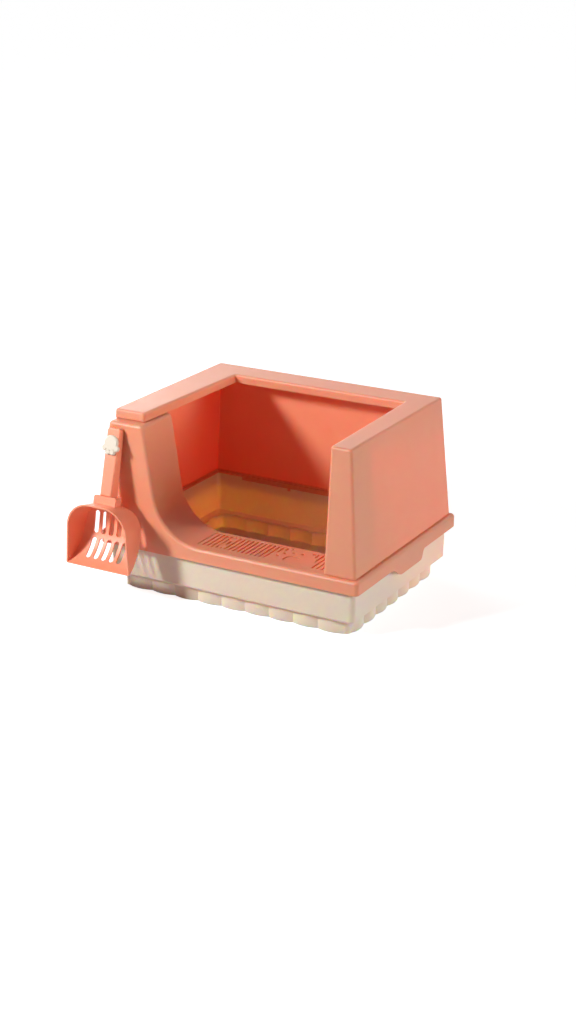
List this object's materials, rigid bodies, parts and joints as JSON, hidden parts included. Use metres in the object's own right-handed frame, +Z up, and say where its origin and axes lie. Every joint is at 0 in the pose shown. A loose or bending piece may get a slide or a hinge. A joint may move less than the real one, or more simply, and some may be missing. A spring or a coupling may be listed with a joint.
{
  "type": "semi-enclosed litter box",
  "caption": "Open-topped cat litter box: a cream tray under a coral rim frame with a slotted entry step, a high splash guard and a slotted scoop hung beside the way in.",
  "frame": {"origin": "middle of the tray's flat underside", "axes": "+X to the right seen from the entry side, +Y from the entry towards the back, +Z up"},
  "size_m": [0.5458, 0.475, 0.338],
  "materials": {
    "tray_plastic": "translucent satin cream",
    "coral_plastic": "satin coral",
    "cap_plastic": "satin ivory"
  },
  "bodies": {
    "tray": {"base_tray": "tray_plastic"},
    "frame": {"rim_frame": "coral_plastic", "scoop_hook": "coral_plastic"},
    "guard": {"splash_guard": "coral_plastic"},
    "grate": {"step_grate": "coral_plastic"},
    "scoop": {"scoop_bowl": "coral_plastic", "scoop_handle": "coral_plastic", "paw_cap": "cap_plastic"}
  },
  "joints": [
    {"name": "frame_lift", "type": "slide", "parent": "tray", "child": "frame", "axis": [0, 0, 1], "range_m": [0, 0.15]},
    {"name": "guard_lift", "type": "slide", "parent": "frame", "child": "guard", "axis": [0, 0, 1], "range_m": [0, 0.24]},
    {"name": "grate_lift", "type": "slide", "parent": "frame", "child": "grate", "axis": [0, 0, 1], "range_m": [0, 0.1]},
    {"name": "scoop_lift", "type": "slide", "parent": "frame", "child": "scoop", "axis": [0, 0, 1], "range_m": [0, 0.06]}
  ]
}
